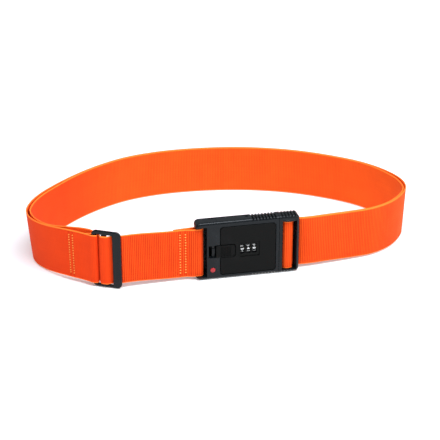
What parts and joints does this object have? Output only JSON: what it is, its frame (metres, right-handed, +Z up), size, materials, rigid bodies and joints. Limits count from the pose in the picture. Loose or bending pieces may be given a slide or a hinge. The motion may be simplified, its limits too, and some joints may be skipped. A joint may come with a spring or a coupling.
{
  "type": "luggage strap with combination lock buckle",
  "caption": "Webbing strap closed in a loop by a combination-lock buckle with turning code wheels, a release slider and a pull-out tongue, and shortened by a tri-glide.",
  "frame": {"origin": "middle of the whole loop, on the surface that the strap stands on", "axes": "+X along the buckle from its fixed end to its tongue, +Y from the buckle's front towards the back of the loop, +Z up across the webbing's width"},
  "size_m": [0.3798, 0.2136, 0.0586],
  "materials": {
    "black_plastic": "moulded black plastic, semi-gloss with a faint grain",
    "cover_plastic": "moulded black plastic, fine satin grain",
    "wheel_plastic": "black plastic with white printed numerals",
    "orange_webbing": "woven orange polyester webbing with cross ribs and bright edges",
    "steel": "plain zinc-plated steel",
    "zinc": "die-cast zinc, tumbled",
    "brass": "turned brass",
    "red_marker": "plain red enamelled disc"
  },
  "bodies": {
    "housing": {"housing_front": "black_plastic", "housing_back": "black_plastic", "housing_strap_bar": "steel", "case_screw_1": "steel", "case_screw_2": "steel", "case_screw_3": "steel", "case_screw_4": "steel", "dial_cover": "cover_plastic", "inspection_dot": "red_marker", "dial_spindle": "steel", "spindle_clip": "steel", "detent_spring": "steel", "slider_spring": "steel", "latch_spring": "steel", "reset_spring": "steel", "key_sleeve": "zinc", "tri_glide": "black_plastic", "strap_left_inner": "orange_webbing", "strap_left_outer": "orange_webbing"},
    "dial_1": {"dial_wheel_1": "wheel_plastic", "code_sleeve_1": "brass"},
    "dial_2": {"dial_wheel_2": "wheel_plastic", "code_sleeve_2": "brass"},
    "dial_3": {"dial_wheel_3": "wheel_plastic", "code_sleeve_3": "brass"},
    "slider": {"release_slider": "cover_plastic", "lock_yoke": "zinc"},
    "latch_upper": {"latch_bolt_upper": "zinc"},
    "latch_lower": {"latch_bolt_lower": "zinc"},
    "fence": {"fence_bar": "zinc"},
    "key": {"key_plug": "brass", "key_cam": "zinc"},
    "reset": {"reset_pin": "zinc"},
    "tongue": {"tongue_frame": "black_plastic", "tongue_strap_bar": "steel", "strap_right": "orange_webbing"}
  },
  "joints": [
    {"name": "dial_1_turn", "type": "hinge", "parent": "housing", "child": "dial_1", "pos_m": [0.00432, -0.09945, 0.0285], "axis": [1, 0, 0], "continuous": true},
    {"name": "dial_2_turn", "type": "hinge", "parent": "housing", "child": "dial_2", "pos_m": [0.01012, -0.09945, 0.0285], "axis": [1, 0, 0], "continuous": true},
    {"name": "dial_3_turn", "type": "hinge", "parent": "housing", "child": "dial_3", "pos_m": [0.01592, -0.09945, 0.0285], "axis": [1, 0, 0], "continuous": true},
    {"name": "slider_slide", "type": "slide", "parent": "housing", "child": "slider", "axis": [-1, 0, 0], "range_m": [0, 0.0065], "stiffness_N_per_m": 150, "springref_m": -0.002, "deforming": ["slider_spring"]},
    {"name": "latch_upper_slide", "type": "slide", "parent": "housing", "child": "latch_upper", "axis": [0, 0, -1], "range_m": [0, 0.0024], "deforming": ["latch_spring"]},
    {"name": "latch_lower_slide", "type": "slide", "parent": "housing", "child": "latch_lower", "axis": [0, 0, 1], "range_m": [0, 0.0024]},
    {"name": "fence_drop", "type": "slide", "parent": "housing", "child": "fence", "axis": [0, 0, -1], "range_m": [0, 0.001]},
    {"name": "key_turn", "type": "hinge", "parent": "housing", "child": "key", "pos_m": [-0.02318, -0.09875, 0.005], "axis": [0, 0, 1], "range_deg": [0, 90]},
    {"name": "reset_press", "type": "slide", "parent": "housing", "child": "reset", "axis": [0, 0, -1], "range_m": [0, 0.002], "stiffness_N_per_m": 200, "springref_m": -0.001, "deforming": ["reset_spring"]},
    {"name": "tongue_pull", "type": "slide", "parent": "housing", "child": "tongue", "axis": [1, 0, 0], "range_m": [0, 0.028]}
  ],
  "couplings": [
    {"joint": "latch_upper_slide", "follows": "slider_slide", "ratio": 0.36923},
    {"joint": "latch_lower_slide", "follows": "slider_slide", "ratio": 0.36923},
    {"joint": "fence_drop", "follows": "slider_slide", "ratio": 0.15385}
  ]
}
